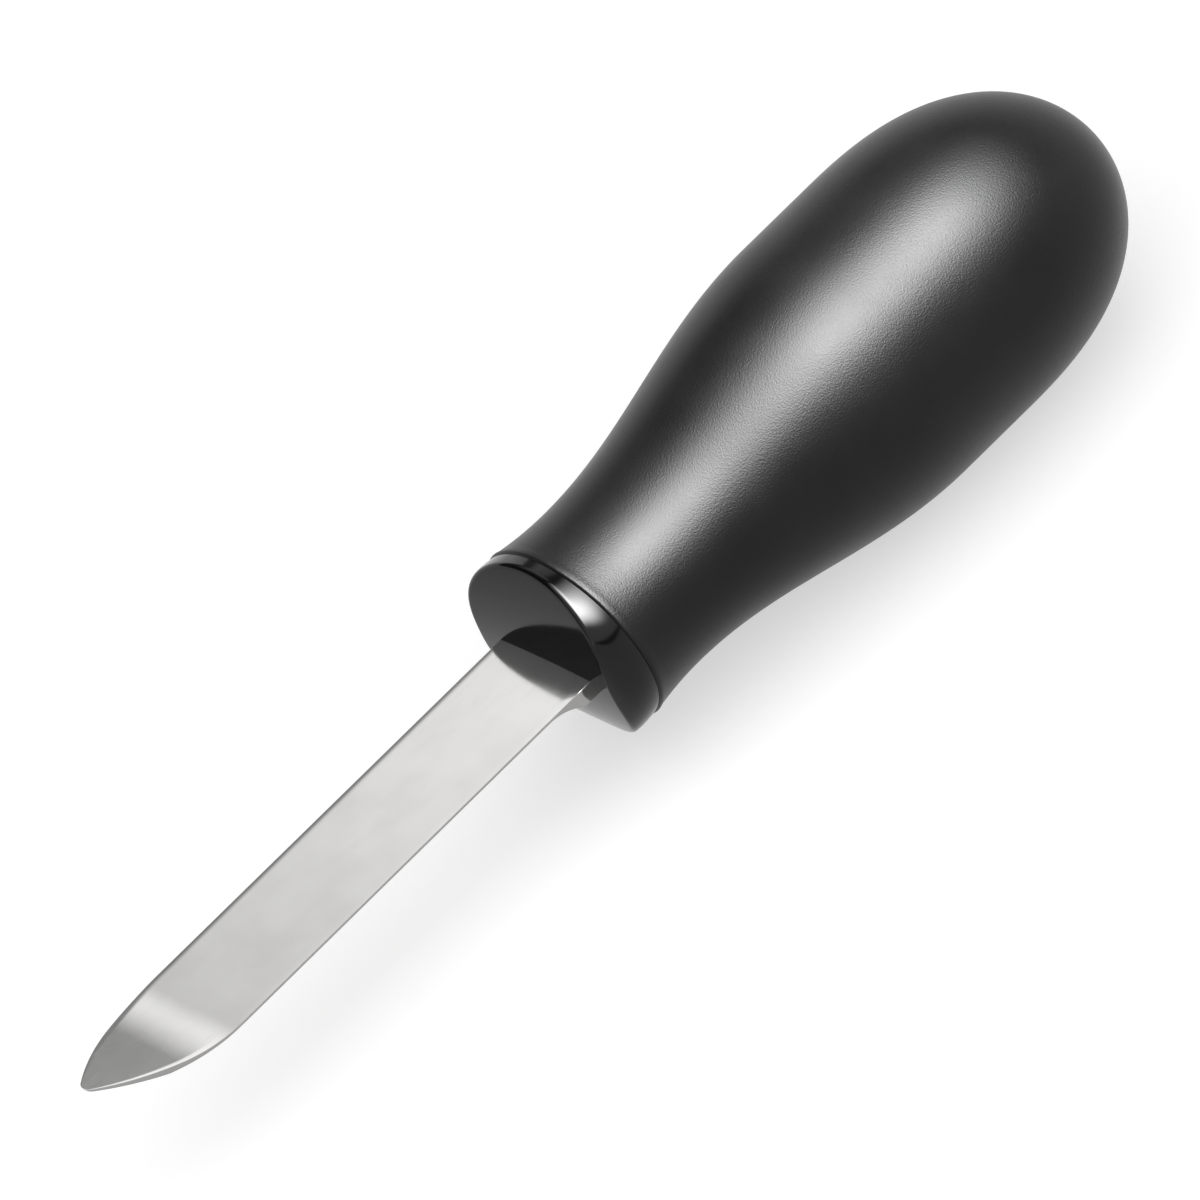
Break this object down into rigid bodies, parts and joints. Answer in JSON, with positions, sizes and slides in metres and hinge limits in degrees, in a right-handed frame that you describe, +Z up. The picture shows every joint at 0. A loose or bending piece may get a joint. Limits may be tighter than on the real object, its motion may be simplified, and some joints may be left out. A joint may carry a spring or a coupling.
{
  "type": "oyster knife",
  "caption": "Oyster knife: short stiff steel blade with an upturned point, a hard glossy collar with a saddle-shaped face, and a thick soft oval grip.",
  "frame": {"origin": "under the middle of the knife's overall length, level with the lowest line of the grip's belly", "axes": "+X along the knife towards the rounded end of the handle, so the blade points along -X; +Z up, square to the flat of the blade, on the side to which the point is bent; Y across the blade, with the knife the same on both sides of the plane Y = 0"},
  "size_m": [0.165, 0.036, 0.0342],
  "materials": {
    "steel": "satin-polished stainless steel, finely ground along its length",
    "hard_plastic": "glossy black moulded plastic",
    "soft_grip": "matt black thermoplastic elastomer with a fine moulded grain"
  },
  "bodies": {
    "root": {"blade": "steel", "handle_core": "hard_plastic", "grip": "soft_grip"}
  },
  "joints": []
}
